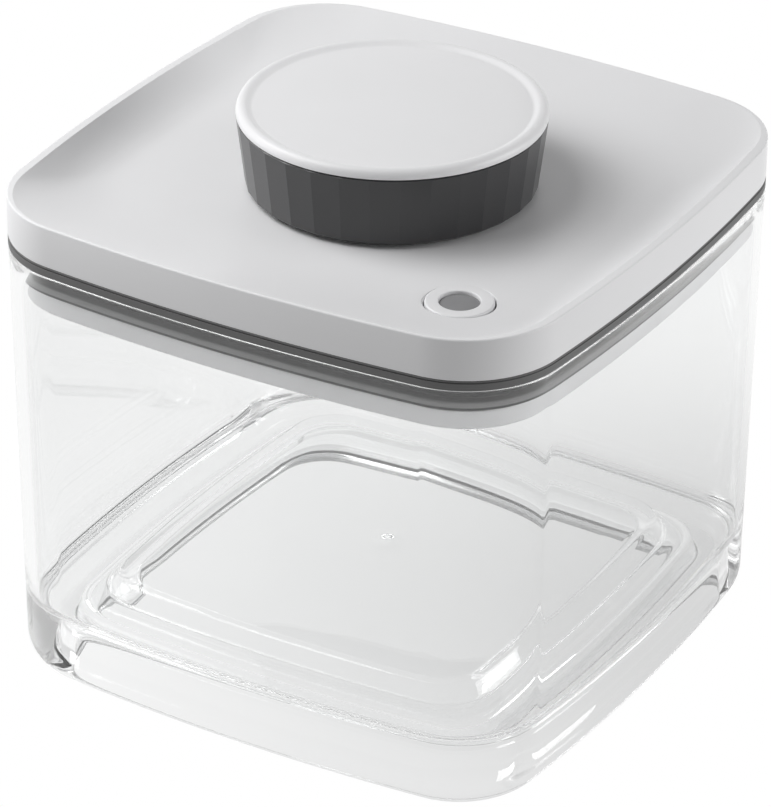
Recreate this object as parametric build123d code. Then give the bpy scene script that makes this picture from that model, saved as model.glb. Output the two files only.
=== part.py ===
from build123d import *
import math
import os

# Vacuum seal canister: a clear square container, a pump lid with a hand-turned knob,
# a rubber rim gasket and a release button. Millimetres, +Z up.
# The origin is the middle of the foot, on the surface that the canister stands on.

# Overall outline, a square with bowed sides and tangent corner arcs
half_width = 66.0
side_bow_radius = 455.0
corner_radius = 22.0
container_height = 100.8
lid_height = 9.15

# Container
wall = 2.5
container_draft = 1.5
foot_rounding = 8.0
foot_width = 10.5
floor_height = 16.5
floor_thickness = 3.0
plateau_inset = 20.0
plateau_rise = 3.8
plateau_flare = 2.5
plateau_corner = 10.0
floor_fillet = 2.8
plateau_fillet = 1.8
recess_fillet = 3.5
recess_flare = 1.5
rim_rounding = 0.5
gate_radius = 2.6
gate_depth = 0.4

# Rim gasket
gasket_thickness = 2.25
gasket_band_gap = 2.0
gasket_band_thickness = 1.4
gasket_band_drop = 5.9
gasket_lip_height = 1.9
gasket_lip_rise = 0.4
gasket_lip_rounding = 0.6
gasket_groove_depth = 0.3
gasket_groove_height = 0.3
gasket_groove_drop = 0.7
lip_gap = 0.06

# Lid shell
lid_skin = 2.0
dish_depth = 5.4
rim_band_x = 2.0
rim_band_y = 0.6
dish_slope_x = 12.5
dish_slope_y = 26.5
dish_corner = 16.0
lid_edge_rounding = 0.45
shell_wall = 2.4
dish_sections = 6

# Lid tray, the plug that closes the lid from below
tray_drop = 10.2
tray_floor = 2.0
tray_wall = 2.0
tray_edge_rounding = 0.8
tray_gap = 1.2

# Pump
cylinder_wall = 1.8
cylinder_floor = 1.5
cylinder_gasket_thickness = 0.6
cylinder_gasket_width = 2.5
flange_rise = 4.0
flange_thickness = 2.0
flange_width = 3.2
flange_clearance = 1.7
lug_radius = 3.2
lug_reach = 8.2
screw_count = 4
screw_radius = 1.3
screw_head_radius = 2.5
screw_head_height = 1.6
screw_bite = 3.5
screw_slot_width = 0.8
screw_slot_depth = 0.7
post_radius = 3.0
piston_clearance = 0.1
piston_head_height = 4.0
piston_valve_gap = 0.4
seal_width = 1.6
seal_depth = 1.5
seal_gap = 0.05
seal_rounding = 0.3
rod_radius = 7.0
rod_bore = 5.0
rod_window = 3.0
plate_thickness = 2.0
plate_gap = 3.2
plate_clearance = 0.2
stroke = 2.8
follower_count = 3
follower_radius = 1.3
follower_length = 3.6
follower_gap = 0.1
cam_width = 4.4
cam_lobes = 12
cam_root = 0.6
port_radius = 1.0
port_circle = 3.6
port_count = 6
umbrella_radius = 5.5
umbrella_thickness = 0.6
umbrella_stem = 0.9
outlet_radius = 4.2
outlet_port_circle = 2.6
filter_radius = 9.0
filter_thickness = 0.8
inlet_ports = 6
inlet_port_circle = 5.5
inlet_port_radius = 1.2

# Springs
wire_sides = 6
piston_spring_wire = 1.2
piston_spring_turns = 4.0
button_spring_wire = 0.6
button_spring_turns = 6.0
spring_end_gap = 0.1

# Knob
knob_top_radius = 32.6
grip_flare = 2.8
grip_wall = 1.35
knob_gap = 0.9
grip_height = 15.7
grip_facets = 32
grip_foot_chamfer = 0.6
grip_ledge = 1.3
grip_ledge_height = 1.5
cap_gap = 0.2
cap_height = 2.0
cap_bead_inset = 1.6
cap_recess_inset = 3.6
cap_recess_depth = 0.8
cap_skin = 1.6
spigot_wall = 1.8
collar_wall = 2.0
collar_clearance = 0.5
collar_height = 5.2
collar_lip = 1.0
collar_lip_height = 1.2
hub_gap = 0.3
hub_disc = 2.1
hub_skirt = 1.9
hub_fit = 0.05
hub_skirt_drop = 6.4
retainer_height = 1.5
retainer_groove = 0.65
retainer_opening = 9.0
washer_thickness = 0.8
washer_gap = 0.1
guide_rib_width = 2.0
guide_rib_height = 1.3
guide_clearance = 0.3

# Release button
button_inset = 26.9
button_radius = 7.1
button_gap = 0.3
button_height = 4.0
button_proud = 0.6
button_rounding = 0.5
button_guide_wall = 1.5
button_guide_drop = 5.0
indicator_radius = 4.1
indicator_gap = 0.15
indicator_thickness = 1.0
indicator_recess = 0.5
indicator_travel = 1.0
indicator_floor_gap = 0.3
indicator_dome = 0.25
stem_radius = 1.4
stem_fit = 0.1
stem_socket = 1.2
valve_foot_radius = 3.6
valve_foot_height = 0.8
valve_seal_thickness = 0.5
valve_pocket_radius = 4.4
valve_pocket_depth = 3.0
valve_boss_radius = 6.4
valve_boss_height = 3.6
bush_radius = 2.6
bush_flange_radius = 3.4
bush_flange_height = 0.6
vent_radius = 0.35
vent_count = 4

# One overrun serves every cut
overrun = 1.0

# Heights worked out from the sizes above
plateau_half = half_width - plateau_inset
button_offset = half_width - button_inset
gasket_top = container_height + gasket_thickness
lid_top_height = gasket_top + lid_height
dish_floor = lid_top_height - dish_depth
shell_underside = dish_floor - lid_skin
tray_bottom = container_height - tray_drop
tray_floor_top = tray_bottom + tray_floor
gasket_band_bottom = container_height - gasket_band_drop
tray_inset = wall + tray_gap
gasket_band_inset = wall + gasket_band_gap
gasket_inner_offset = gasket_band_inset + gasket_band_thickness
tray_bore_offset = gasket_inner_offset + tray_wall
plateau_top = floor_height + plateau_rise

knob_foot_radius = knob_top_radius - grip_flare
grip_bore_radius = knob_foot_radius - grip_wall
hub_outer = grip_bore_radius - hub_fit
hub_bore = hub_outer - hub_skirt
collar_lip_radius = hub_bore - hub_gap
collar_outer = collar_lip_radius - collar_lip
collar_bore = collar_outer - collar_wall
plate_radius = collar_bore - collar_clearance
cam_circle = plate_radius - cam_width / 2
flange_outer = plate_radius - flange_clearance
cylinder_outer = flange_outer - flange_width
bore_radius = cylinder_outer - cylinder_wall
lug_circle = cylinder_outer + lug_reach

collar_top = dish_floor + collar_height
hub_underside = collar_top + washer_thickness + washer_gap
hub_top = hub_underside + hub_disc
hub_bottom = hub_top - hub_skirt_drop
cam_valley = hub_underside - cam_root
cam_peak = cam_valley - stroke
follower_top = cam_valley - follower_gap
plate_top = cam_peak - plate_clearance
plate_bottom = plate_top - plate_thickness
knob_bottom = dish_floor + knob_gap
grip_top = knob_bottom + grip_height
cap_bottom = grip_top + cap_gap
cap_top = cap_bottom + cap_height

cylinder_bottom = tray_floor_top + cylinder_gasket_thickness
cylinder_floor_top = cylinder_bottom + cylinder_floor
cylinder_top = plate_bottom - plate_gap
flange_bottom = cylinder_bottom + flange_rise
flange_top = flange_bottom + flange_thickness
piston_bottom = cylinder_floor_top + umbrella_thickness + stroke + piston_valve_gap
piston_head_top = piston_bottom + piston_head_height

button_top = dish_floor + button_proud
button_bottom = button_top - button_height
indicator_top = button_top - indicator_recess
indicator_bottom = indicator_top - indicator_thickness
button_cup_floor = indicator_bottom - indicator_travel - indicator_floor_gap
valve_seat_height = tray_bottom + valve_pocket_depth
valve_seal_top = valve_seat_height - stem_fit
valve_foot_top = valve_seal_top - valve_seal_thickness
valve_foot_bottom = valve_foot_top - valve_foot_height
valve_boss_top = tray_floor_top + valve_boss_height


def bowed_outline(half_x, half_y, bow, corner, height):
    """Closed outline at a height: four bowed sides joined by tangent corner arcs."""
    x_arc_middle = Vector(half_x - bow, 0, 0)
    y_arc_middle = Vector(0, half_y - bow, 0)
    between = y_arc_middle - x_arc_middle
    reach = bow - corner
    rise = math.sqrt(reach**2 - (between.length / 2) ** 2)
    outward = Vector(-between.Y, between.X, 0).normalized()
    corner_middle = (x_arc_middle + y_arc_middle) * 0.5
    corner_middle += outward * rise
    x_end = x_arc_middle + (corner_middle - x_arc_middle).normalized() * bow
    y_end = y_arc_middle + (corner_middle - y_arc_middle).normalized() * bow
    bisector = (x_end - corner_middle + y_end - corner_middle).normalized()
    corner_tip = corner_middle + bisector * corner

    def placed(point, sign_x, sign_y):
        return (point.X * sign_x, point.Y * sign_y, height)

    edges = [
        Edge.make_three_point_arc(placed(x_end, 1, -1), (half_x, 0, height), placed(x_end, 1, 1)),
        Edge.make_three_point_arc(placed(x_end, 1, 1), placed(corner_tip, 1, 1), placed(y_end, 1, 1)),
        Edge.make_three_point_arc(placed(y_end, 1, 1), (0, half_y, height), placed(y_end, -1, 1)),
        Edge.make_three_point_arc(placed(y_end, -1, 1), placed(corner_tip, -1, 1), placed(x_end, -1, 1)),
        Edge.make_three_point_arc(placed(x_end, -1, 1), (-half_x, 0, height), placed(x_end, -1, -1)),
        Edge.make_three_point_arc(placed(x_end, -1, -1), placed(corner_tip, -1, -1), placed(y_end, -1, -1)),
        Edge.make_three_point_arc(placed(y_end, -1, -1), (0, -half_y, height), placed(y_end, 1, -1)),
        Edge.make_three_point_arc(placed(y_end, 1, -1), placed(corner_tip, 1, -1), placed(x_end, 1, -1)),
    ]
    return Wire(edges)


def body_outline(inset, height):
    """The canister's own outline, moved inwards by an inset."""
    half = half_width - inset
    return bowed_outline(half, half, side_bow_radius - inset, corner_radius - inset, height)


def plateau_outline(inset, height):
    """Outline of the floor's raised middle, moved inwards by an inset."""
    half = plateau_half - inset
    return bowed_outline(half, half, side_bow_radius - inset, plateau_corner - inset, height)


def between_outlines(lower, upper):
    """Solid with straight sides between two outlines."""
    return Solid.make_loft([lower, upper], ruled=True)


def body_slab(inset, low, high):
    """Upright slab with the canister's outline."""
    return extrude(Face(body_outline(inset, low)), amount=high - low, dir=(0, 0, 1))


def draft_at(height):
    """How far the drafted outer wall stands inside the rim's outline."""
    return container_draft * (1 - height / container_height)


def disc(radius, low, high):
    """Upright cylinder on the middle axis."""
    shape = Cylinder(radius, high - low, align=(Align.CENTER, Align.CENTER, Align.MIN))
    return Pos(0, 0, low) * shape


def tube(outer, inner, low, high):
    """Upright tube on the middle axis."""
    return disc(outer, low, high) - disc(inner, low - overrun, high + overrun)


def ring_of(shape, count, circle, start=0):
    """Copies of a shape, evenly turned about the middle axis at a radius."""
    step = 360 / count
    return [Rot(0, 0, start + step * turn) * Pos(circle, 0, 0) * shape for turn in range(count)]


def edges_at(shape, height, slack):
    """Edges that lie at one height."""
    return shape.edges().filter_by_position(Axis.Z, height - slack, height + slack)


def at_button(shape):
    """A shape moved from the middle axis to the button's axis in the front corner."""
    return Pos(button_offset, -button_offset, 0) * shape


def coil(mean_radius, wire_diameter, turns, low, high):
    """Helical spring between two heights, kept light with a many-sided wire."""
    rise = high - low - wire_diameter
    path = Helix(pitch=rise / turns, height=rise, radius=mean_radius)
    section = Plane(origin=path @ 0, z_dir=path % 0) * RegularPolygon(wire_diameter / 2, wire_sides)
    spring = sweep(section, path=path)
    return Pos(0, 0, low + wire_diameter / 2) * spring


def make_container():
    """Clear canister: drafted walls, a floor raised on a foot, and a recess below it."""
    outside = between_outlines(body_outline(container_draft, 0), body_outline(0, container_height))
    outside = fillet(edges_at(outside, 0, rim_rounding), foot_rounding)
    floor_inset = wall + draft_at(floor_height)
    inside = between_outlines(body_outline(floor_inset, floor_height), body_outline(wall, container_height))
    inside = fillet(edges_at(inside, floor_height, rim_rounding), floor_fillet)
    plateau = between_outlines(plateau_outline(-plateau_flare, floor_height), plateau_outline(0, plateau_top))
    plateau = fillet(edges_at(plateau, plateau_top, rim_rounding), plateau_fillet)
    mouth_inset = container_draft + foot_width
    ceiling = floor_height - floor_thickness
    recess = between_outlines(body_outline(mouth_inset, 0), body_outline(mouth_inset + recess_flare, ceiling))
    recess = fillet(edges_at(recess, ceiling, rim_rounding), recess_fillet)
    knob_room_top = plateau_outline(floor_thickness, plateau_top - floor_thickness)
    knob_room = between_outlines(plateau_outline(floor_thickness - plateau_flare, ceiling), knob_room_top)
    shape = outside - inside
    shape = fillet(edges_at(shape, container_height, rim_rounding), rim_rounding)
    shape = shape + plateau
    shape = shape - recess - knob_room
    gate_curve = (gate_radius**2 + gate_depth**2) / (2 * gate_depth)
    gate = Pos(0, 0, plateau_top + gate_curve - gate_depth) * Sphere(gate_curve)
    return shape - gate


def make_rim_gasket():
    """Rubber ring: a grooved flange on the rim, a band inside the wall, and a soft lip that seals."""
    shape = body_slab(0, container_height, gasket_top)
    groove_high = gasket_top - gasket_groove_drop
    groove_low = groove_high - gasket_groove_height
    groove = body_slab(-overrun, groove_low, groove_high)
    shape -= groove - body_slab(gasket_groove_depth, groove_low, groove_high)
    shape += body_slab(gasket_band_inset, gasket_band_bottom, container_height)
    lip_low = gasket_band_bottom + gasket_lip_rise
    lip_high = lip_low + gasket_lip_height
    lip = body_slab(wall + draft_at(lip_low) + lip_gap, lip_low, lip_high)
    lip_edges = edges_at(lip, lip_low, lip_gap) + edges_at(lip, lip_high, lip_gap)
    shape += fillet(lip_edges, gasket_lip_rounding)
    return shape - body_slab(gasket_inner_offset, gasket_band_bottom - overrun, gasket_top + overrun)


def dish_cutter():
    """The hollow of the lid's top: short steep slopes at left and right, long ones front and back."""
    floor_x = half_width - rim_band_x - dish_slope_x
    floor_y = half_width - rim_band_y - dish_slope_y
    arc_x = (dish_slope_x**2 + dish_depth**2) / (2 * dish_depth)
    arc_y = (dish_slope_y**2 + dish_depth**2) / (2 * dish_depth)
    top_corner = corner_radius - rim_band_x
    sections = []
    for step in range(dish_sections):
        share = step / (dish_sections - 1)
        rise = dish_depth * share**2
        half_x = floor_x + math.sqrt(2 * arc_x * rise - rise**2)
        half_y = floor_y + math.sqrt(2 * arc_y * rise - rise**2)
        corner = dish_corner + (top_corner - dish_corner) * share
        sections.append(bowed_outline(half_x, half_y, side_bow_radius, corner, dish_floor + rise))
    hollow = Solid.make_loft(sections, ruled=False)
    above = extrude(Face(sections[-1]), amount=overrun, dir=(0, 0, 1))
    return hollow + above


def make_lid_shell():
    """White top of the lid: dished skin, side wall, collar for the knob and guide for the button."""
    shape = body_slab(0, gasket_top, lid_top_height)
    shape = fillet(edges_at(shape, lid_top_height, lid_edge_rounding), lid_edge_rounding) - dish_cutter()
    shape = shape - body_slab(shell_wall, gasket_top - overrun, shell_underside)
    shape = shape + disc(collar_outer, gasket_top, collar_top)
    shape = shape + disc(collar_lip_radius, collar_top - collar_lip_height, collar_top)
    shape = shape - disc(collar_bore, gasket_top - overrun, collar_top + overrun)
    rib = Box(guide_rib_height + collar_wall / 2, guide_rib_width, plate_top - gasket_top - guide_clearance)
    rib_middle = collar_bore - guide_rib_height + (guide_rib_height + collar_wall / 2) / 2
    rib = Pos(0, 0, (plate_top + gasket_top - guide_clearance) / 2) * rib
    for copy in ring_of(rib, follower_count, rib_middle, 180 / follower_count):
        shape = shape + copy
    guide_outer = button_radius + button_gap + button_guide_wall
    guide = disc(guide_outer, shell_underside - button_guide_drop, dish_floor - lid_skin / 2)
    shape = shape + at_button(guide)
    bore = disc(button_radius + button_gap, shell_underside - button_guide_drop - overrun, lid_top_height)
    return shape - at_button(bore)


def make_lid_tray():
    """Plug of the lid: a tray with a bead below the gasket, posts for the pump and a valve boss."""
    bead = body_slab(tray_inset, tray_bottom, gasket_band_bottom)
    bead = fillet(edges_at(bead, tray_bottom, rim_rounding), tray_edge_rounding)
    shape = bead + body_slab(gasket_inner_offset, gasket_band_bottom, shell_underside)
    shape = shape - body_slab(tray_bore_offset, tray_floor_top, shell_underside + overrun)
    post = disc(post_radius, tray_floor_top - tray_floor / 2, flange_bottom)
    for copy in ring_of(post, screw_count, lug_circle):
        shape = shape + copy
    hole = disc(screw_radius, flange_bottom - screw_bite, flange_bottom + overrun)
    for copy in ring_of(hole, screw_count, lug_circle):
        shape = shape - copy
    shape = shape + at_button(disc(valve_boss_radius, tray_floor_top - tray_floor / 2, valve_boss_top))
    shape = shape - at_button(disc(valve_pocket_radius, tray_bottom - overrun, valve_seat_height))
    shape = shape - at_button(disc(bush_radius, tray_bottom, valve_boss_top + overrun))
    shape = shape - disc(filter_radius, tray_bottom - overrun, tray_bottom + filter_thickness)
    port = disc(inlet_port_radius, tray_bottom, tray_floor_top + overrun)
    for copy in ring_of(port, inlet_ports, inlet_port_circle):
        shape = shape - copy
    return shape


def make_inlet_filter():
    """Fine disc under the tray's inlet ports."""
    return disc(filter_radius - seal_gap, tray_bottom, tray_bottom + filter_thickness)


def make_cylinder_gasket():
    """Flat ring between the cylinder and the tray."""
    outer = cylinder_outer
    return tube(outer, outer - cylinder_gasket_width, tray_floor_top, cylinder_bottom)


def make_pump_cylinder():
    """Cup with inlet ports in its floor, and a flange with four screw lugs."""
    shape = disc(cylinder_outer, cylinder_bottom, cylinder_top)
    shape = shape + disc(flange_outer, flange_bottom, flange_top)
    lug = disc(lug_radius, flange_bottom, flange_top)
    web = Pos(-(lug_circle - cylinder_outer) / 2, 0, (flange_bottom + flange_top) / 2) * Box(
        lug_circle - cylinder_outer, lug_radius * 2, flange_thickness
    )
    for copy in ring_of(lug + web, screw_count, lug_circle):
        shape = shape + copy
    hole = disc(screw_radius, flange_bottom - overrun, flange_top + overrun)
    for copy in ring_of(hole, screw_count, lug_circle):
        shape = shape - copy
    shape = shape - disc(bore_radius, cylinder_floor_top, cylinder_top + overrun)
    for copy in ring_of(disc(port_radius, cylinder_bottom, cylinder_floor_top), port_count, port_circle):
        shape = shape - copy
    return shape - disc(umbrella_stem + seal_gap, cylinder_bottom - overrun, cylinder_floor_top + overrun)


def make_cylinder_screws():
    """Four slotted pan-head screws through the lugs into the tray's posts."""
    shank = disc(screw_radius - seal_gap, flange_bottom - screw_bite + seal_gap, flange_top)
    head = disc(screw_head_radius, flange_top, flange_top + screw_head_height)
    slot = Box(screw_head_radius * 2 + overrun, screw_slot_width, screw_slot_depth * 2)
    slot = Pos(0, 0, flange_top + screw_head_height) * slot
    return Compound(children=ring_of(shank + head - slot, screw_count, lug_circle))


def umbrella(radius, thickness, seat, stem_drop):
    """Rubber valve: a thin domed disc on its seat, with a stem through the floor."""
    cover = disc(radius, seat, seat + thickness)
    cover = fillet(edges_at(cover, seat + thickness, seal_gap), thickness / 2)
    return cover + disc(umbrella_stem, seat - stem_drop, seat)


def make_inlet_valve():
    """Umbrella valve that lets air up into the cylinder."""
    return umbrella(umbrella_radius, umbrella_thickness, cylinder_floor_top, cylinder_floor)


def make_outlet_valve():
    """Umbrella valve that lets air up through the piston's head."""
    return umbrella(outlet_radius, umbrella_thickness, piston_head_top, piston_head_height / 2)


def make_piston():
    """Head with a seal groove, hollow rod with side windows, and top plate with followers."""
    shape = disc(bore_radius - piston_clearance, piston_bottom, piston_head_top)
    groove_low = (piston_bottom + piston_head_top - seal_width) / 2
    groove = tube(bore_radius + overrun, bore_radius - seal_depth, groove_low, groove_low + seal_width)
    shape = shape - groove
    shape = shape + tube(rod_radius, rod_bore, piston_head_top - seal_gap, plate_bottom)
    window_middle = (piston_head_top + plate_bottom) / 2
    window = Pos(0, 0, window_middle) * Rot(0, 90, 0) * Cylinder(rod_window / 2, rod_radius * 2 + overrun)
    shape = shape - window
    port = disc(port_radius / 2, piston_bottom, piston_head_top)
    for copy in ring_of(port, port_count, outlet_port_circle):
        shape = shape - copy
    shape = shape - disc(umbrella_stem + seal_gap, piston_bottom - overrun, piston_head_top)
    plate = disc(plate_radius, plate_bottom, plate_top)
    notch_depth = guide_rib_height + guide_clearance - collar_clearance
    notch = Box(notch_depth * 2, guide_rib_width + guide_clearance * 2, plate_thickness * 2)
    notch = Pos(0, 0, (plate_bottom + plate_top) / 2) * notch
    for copy in ring_of(notch, follower_count, plate_radius, 180 / follower_count):
        plate = plate - copy
    shape = shape + plate
    tip_height = follower_top - follower_radius
    tip = Pos(0, 0, tip_height) * Rot(0, 90, 0) * Cylinder(follower_radius, follower_length)
    foot = Pos(0, 0, (plate_top + tip_height) / 2) * Box(
        follower_length, follower_radius * 2, tip_height - plate_top
    )
    for copy in ring_of(tip + foot, follower_count, cam_circle):
        shape = shape + copy
    return shape


def make_piston_seal():
    """Rubber ring in the head's groove."""
    low = (piston_bottom + piston_head_top - seal_width) / 2
    inner = bore_radius - seal_depth
    ring = tube(bore_radius - seal_gap, inner, low, low + seal_width)
    return fillet(ring.edges().filter_by(GeomType.CIRCLE).group_by(SortBy.RADIUS)[-1], seal_rounding)


def make_piston_spring():
    """Return spring between the cylinder's flange and the piston's plate."""
    mean = cylinder_outer + flange_width / 2
    low = flange_top + spring_end_gap
    return coil(mean, piston_spring_wire, piston_spring_turns, low, plate_bottom - spring_end_gap)


def make_cam_hub():
    """Core of the knob: a disc, a skirt round the collar, and the wave cam below the disc."""
    shape = disc(hub_outer, hub_bottom, hub_top) - disc(hub_bore, hub_bottom - overrun, hub_underside)
    cam = tube(cam_circle + cam_width / 2, cam_circle - cam_width / 2, cam_peak, hub_underside)
    pitch = 2 * math.pi * cam_circle / cam_lobes
    wave = Spline(
        [(-pitch / 2, cam_peak), (0, cam_valley), (pitch / 2, cam_peak)],
        tangents=[(1, 0), (1, 0), (1, 0)],
    )
    sides = Polyline(
        (pitch / 2, cam_peak),
        (pitch / 2, cam_peak - overrun),
        (-pitch / 2, cam_peak - overrun),
        (-pitch / 2, cam_peak),
    )
    valley_face = make_face(wave + sides)
    valley = extrude(Plane.YZ * valley_face, amount=cam_width + overrun, both=True)
    for copy in ring_of(valley, cam_lobes, cam_circle):
        cam = cam - copy
    shape = shape + cam
    groove_high = collar_top - collar_lip_height - washer_gap
    groove_low = groove_high - retainer_height - seal_gap * 2
    groove = disc(hub_bore + retainer_groove, groove_low, groove_high)
    return shape - groove


def make_knob_retainer():
    """Open snap ring in the hub's groove, under the collar's lip."""
    high = collar_top - collar_lip_height - washer_gap - seal_gap
    ring = tube(hub_bore + retainer_groove - seal_gap, collar_outer + hub_gap, high - retainer_height, high)
    opening = Box(hub_bore, retainer_opening, retainer_height * 2)
    return ring - Pos(-hub_bore, 0, high - retainer_height / 2) * opening


def make_bearing_washer():
    """Slip ring between the collar and the hub."""
    return tube(collar_outer, collar_bore, collar_top, collar_top + washer_thickness)


def facet_outline(radius, height):
    """Regular polygon of the grip's facets."""
    return Pos(0, 0, height) * RegularPolygon(radius, grip_facets)


def make_grip_ring():
    """Flat-faceted grip that widens upwards, with a ledge on the hub."""
    chamfer_top = knob_bottom + grip_foot_chamfer
    lean = (knob_top_radius - knob_foot_radius) / grip_height
    waist = knob_foot_radius + lean * grip_foot_chamfer
    foot_outline = facet_outline(waist - grip_foot_chamfer, knob_bottom)
    foot = loft([foot_outline, facet_outline(waist, chamfer_top)], ruled=True)
    grip = loft([facet_outline(waist, chamfer_top), facet_outline(knob_top_radius, grip_top)], ruled=True)
    shape = foot + grip
    shape = shape - disc(grip_bore_radius, knob_bottom - overrun, hub_top)
    shape = shape - disc(grip_bore_radius - grip_ledge, hub_top - overrun, hub_top + grip_ledge_height)
    return shape - disc(grip_bore_radius, hub_top + grip_ledge_height, grip_top + overrun)


def make_knob_cap():
    """White cap: a rounded bead round a shallow flat recess, with a spigot down to the hub."""
    bead_middle = knob_top_radius - cap_bead_inset
    recess_radius = knob_top_radius - cap_recess_inset
    recess_top = cap_top - cap_recess_depth
    underside = recess_top - cap_skin
    spigot_outer = grip_bore_radius - grip_ledge - hub_fit
    outer_edge = Line((knob_top_radius, cap_bottom), (knob_top_radius, cap_bottom + cap_gap))
    bead_reach = cap_bead_inset * math.sin(math.pi / 4)
    bead_fall = cap_bead_inset * (1 - math.cos(math.pi / 4))
    bead_shoulder = (bead_middle + bead_reach, cap_top - bead_fall)
    bead_out = ThreePointArc(outer_edge @ 1, bead_shoulder, (bead_middle, cap_top))
    bead_in = Spline([bead_out @ 1, (recess_radius, recess_top)], tangents=[(-1, 0), (-1, 0)])
    rest = Polyline(
        (recess_radius, recess_top),
        (0, recess_top),
        (0, underside),
        (spigot_outer - spigot_wall, underside),
        (spigot_outer - spigot_wall, hub_top),
        (spigot_outer, hub_top),
        (spigot_outer, cap_bottom),
        (knob_top_radius, cap_bottom),
    )
    profile = make_face(outer_edge + bead_out + bead_in + rest)
    return revolve(Plane.XZ * profile, axis=Axis.Z)


def make_release_button():
    """White push button: a round cup with a pocket for the indicator and a socket for the stem."""
    shape = disc(button_radius, button_bottom, button_top)
    shape = fillet(edges_at(shape, button_top, seal_gap), button_rounding)
    shape = shape - disc(indicator_radius + indicator_gap, button_cup_floor, button_top + overrun)
    shape = shape - disc(stem_radius, button_bottom - overrun, button_bottom + stem_socket)
    return at_button(shape)


def make_vacuum_indicator():
    """Soft domed disc that sinks when there is a vacuum below it."""
    plate = disc(indicator_radius, indicator_bottom, indicator_top - indicator_dome)
    dome_radius = (indicator_radius**2 + indicator_dome**2) / (2 * indicator_dome)
    dome = Pos(0, 0, indicator_top - dome_radius) * Sphere(dome_radius)
    dome = dome & disc(indicator_radius, indicator_top - indicator_dome, indicator_top)
    return at_button(plate + dome)


def make_valve_stem():
    """Stem from the button down to the foot of the release valve."""
    stem = disc(stem_radius, valve_foot_top, button_bottom + stem_socket)
    return at_button(stem + disc(valve_foot_radius, valve_foot_bottom, valve_foot_top))


def make_valve_seal():
    """Soft ring on the valve's foot."""
    return at_button(tube(valve_foot_radius, stem_radius, valve_foot_top, valve_seal_top))


def make_valve_bush():
    """Bush that guides the stem, with a flange on the boss and vents round the stem."""
    shape = disc(bush_radius, valve_seat_height, valve_boss_top)
    shape = shape + disc(bush_flange_radius, valve_boss_top, valve_boss_top + bush_flange_height)
    high = valve_boss_top + bush_flange_height
    stem_bore = stem_radius + stem_fit
    vent = disc(vent_radius, valve_seat_height - overrun, high + overrun)
    for copy in ring_of(vent, vent_count, (stem_bore + bush_radius) / 2):
        shape = shape - copy
    return at_button(shape - disc(stem_bore, valve_seat_height - overrun, high + overrun))


def make_button_spring():
    """Spring round the stem, between the bush and the button."""
    mean = (stem_radius + bush_flange_radius) / 2 + button_spring_wire / 2
    low = valve_boss_top + bush_flange_height + spring_end_gap
    return at_button(coil(mean, button_spring_wire, button_spring_turns, low, button_bottom - spring_end_gap))


nodes = {
    "container": make_container,
    "rim_gasket": make_rim_gasket,
    "lid_shell": make_lid_shell,
    "lid_tray": make_lid_tray,
    "inlet_filter": make_inlet_filter,
    "pump_cylinder": make_pump_cylinder,
    "cylinder_gasket": make_cylinder_gasket,
    "cylinder_screws": make_cylinder_screws,
    "inlet_valve": make_inlet_valve,
    "piston": make_piston,
    "piston_seal": make_piston_seal,
    "outlet_valve": make_outlet_valve,
    "piston_spring": make_piston_spring,
    "cam_hub": make_cam_hub,
    "knob_retainer": make_knob_retainer,
    "bearing_washer": make_bearing_washer,
    "grip_ring": make_grip_ring,
    "knob_cap": make_knob_cap,
    "release_button": make_release_button,
    "vacuum_indicator": make_vacuum_indicator,
    "valve_stem": make_valve_stem,
    "valve_seal": make_valve_seal,
    "valve_bush": make_valve_bush,
    "button_spring": make_button_spring,
}

os.makedirs("parts", exist_ok=True)
for name, make in nodes.items():
    shape = make()
    export_step(shape, f"parts/{name}.step")
    print(name, round(shape.volume), "cubic millimetres")
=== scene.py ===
"""Vacuum seal canister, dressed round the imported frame.

Everything is in metres, in the frame's own axes: +Z up, the button in the (+X, -Y) corner.
Each new piece is a surface worked out with numpy: a profile carried round a bowed square or
a circle, or a height over the lid's plan.
"""

import math

import bmesh
import bpy
import numpy as np
from mathutils import Matrix, Vector
from mathutils.geometry import delaunay_2d_cdt


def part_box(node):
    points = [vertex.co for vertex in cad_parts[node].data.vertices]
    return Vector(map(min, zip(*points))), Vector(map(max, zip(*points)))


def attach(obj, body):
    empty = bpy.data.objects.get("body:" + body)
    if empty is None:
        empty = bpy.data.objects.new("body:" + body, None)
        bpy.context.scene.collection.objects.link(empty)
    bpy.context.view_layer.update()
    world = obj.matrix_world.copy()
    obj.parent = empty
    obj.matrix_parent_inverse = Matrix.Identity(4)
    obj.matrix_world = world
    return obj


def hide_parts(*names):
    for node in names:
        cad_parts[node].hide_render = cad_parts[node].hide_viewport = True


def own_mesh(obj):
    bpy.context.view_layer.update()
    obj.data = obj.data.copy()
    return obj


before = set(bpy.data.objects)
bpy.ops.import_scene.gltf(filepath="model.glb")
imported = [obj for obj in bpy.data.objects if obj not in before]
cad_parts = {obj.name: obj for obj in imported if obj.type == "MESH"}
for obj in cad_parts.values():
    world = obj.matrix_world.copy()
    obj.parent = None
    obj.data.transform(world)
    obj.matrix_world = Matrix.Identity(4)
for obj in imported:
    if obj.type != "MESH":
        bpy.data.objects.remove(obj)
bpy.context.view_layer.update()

# Sizes read from the frame
_, container_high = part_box("container")
_, shell_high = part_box("lid_shell")
gasket_low, gasket_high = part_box("rim_gasket")
tray_low, tray_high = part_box("lid_tray")
grip_low, grip_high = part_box("grip_ring")
_, cap_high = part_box("knob_cap")
button_low, button_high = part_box("release_button")
indicator_low, indicator_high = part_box("vacuum_indicator")
_, hub_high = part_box("cam_hub")
washer_low, washer_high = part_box("bearing_washer")
_, filter_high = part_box("inlet_filter")

HALF = container_high.x
RIM = container_high.z
LID_BOTTOM = gasket_high.z
LID_TOP = shell_high.z

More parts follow.
